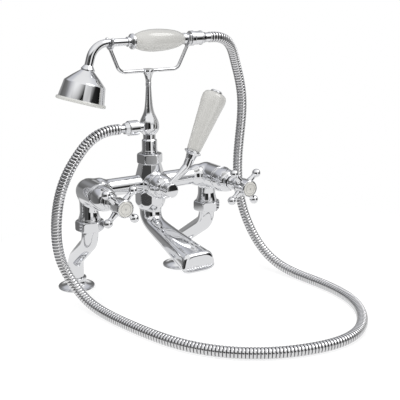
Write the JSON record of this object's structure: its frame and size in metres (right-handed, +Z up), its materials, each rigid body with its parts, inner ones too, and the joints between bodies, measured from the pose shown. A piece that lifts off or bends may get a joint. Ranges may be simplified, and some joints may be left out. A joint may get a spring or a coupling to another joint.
{
  "type": "bath shower mixer",
  "caption": "Deck mounted bath shower mixer on cranked legs, with crosshead valves, a lever diverter, a bath spout, a riser with a cradle and a hand shower on a metal hose.",
  "frame": {"origin": "on the top of the deck, midway between the two feet", "axes": "+Z up, -Y forward to the crossheads and the spout, +X to the right as seen from the front"},
  "size_m": [0.3463, 0.376, 0.4109],
  "materials": {
    "chrome": "polished",
    "hose": "polished ribs",
    "rose_plate": "satin",
    "rim": "satin",
    "ceramic": "glossy",
    "brass": "machined",
    "rubber": "matte",
    "fibre": "matte"
  },
  "bodies": {
    "mixer": {"hot_leg": "chrome", "cold_leg": "chrome", "hot_flange": "chrome", "cold_flange": "chrome", "hot_deck_washer": "rubber", "cold_deck_washer": "rubber", "hot_back_nut": "brass", "cold_back_nut": "brass", "hot_union_nut": "chrome", "cold_union_nut": "chrome", "hot_union_washer": "fibre", "cold_union_washer": "fibre", "mixer_body": "chrome", "spout": "chrome", "hot_valve_cover": "chrome", "cold_valve_cover": "chrome", "hot_cartridge": "brass", "cold_cartridge": "brass", "diverter_cover": "chrome", "riser_nut": "chrome", "riser_washer": "fibre", "riser": "chrome", "cradle": "chrome", "outlet_washer": "rubber", "outlet_hose_nut": "chrome", "outlet_ferrule": "chrome", "shower_hose": "hose"},
    "hot_handle": {"hot_spindle": "brass", "hot_crosshead": "chrome", "hot_handle_screw": "brass", "hot_index": "ceramic"},
    "cold_handle": {"cold_spindle": "brass", "cold_crosshead": "chrome", "cold_handle_screw": "brass", "cold_index": "ceramic"},
    "diverter_lever": {"diverter_spool": "brass", "lever_arm": "chrome", "lever_hub_cap": "chrome", "lever_collar": "chrome", "lever_tie_rod": "brass", "lever_grip": "ceramic", "lever_cap": "chrome"},
    "handset": {"handset_neck": "chrome", "neck_bead": "chrome", "grip_cup": "chrome", "handset_grip": "ceramic", "handset_tail": "chrome", "tail_washer": "rubber", "tail_hose_nut": "chrome", "tail_ferrule": "chrome", "rose_bell": "chrome", "rose_rim": "rim", "rose_face": "rose_plate"}
  },
  "joints": [
    {"name": "hot_handle_turn", "type": "hinge", "parent": "mixer", "child": "hot_handle", "pos_m": [-0.09, -0.065, 0.153], "axis": [0, -1, 0], "range_deg": [0, 90]},
    {"name": "cold_handle_turn", "type": "hinge", "parent": "mixer", "child": "cold_handle", "pos_m": [0.09, -0.065, 0.153], "axis": [0, 1, 0], "range_deg": [0, 90]},
    {"name": "diverter_turn", "type": "hinge", "parent": "mixer", "child": "diverter_lever", "pos_m": [0, -0.065, 0.153], "axis": [0, -1, 0], "range_deg": [0, 90]},
    {"name": "handset_lift", "type": "slide", "parent": "mixer", "child": "handset", "axis": [0, 0, 1], "range_m": [0, 0.06]}
  ]
}
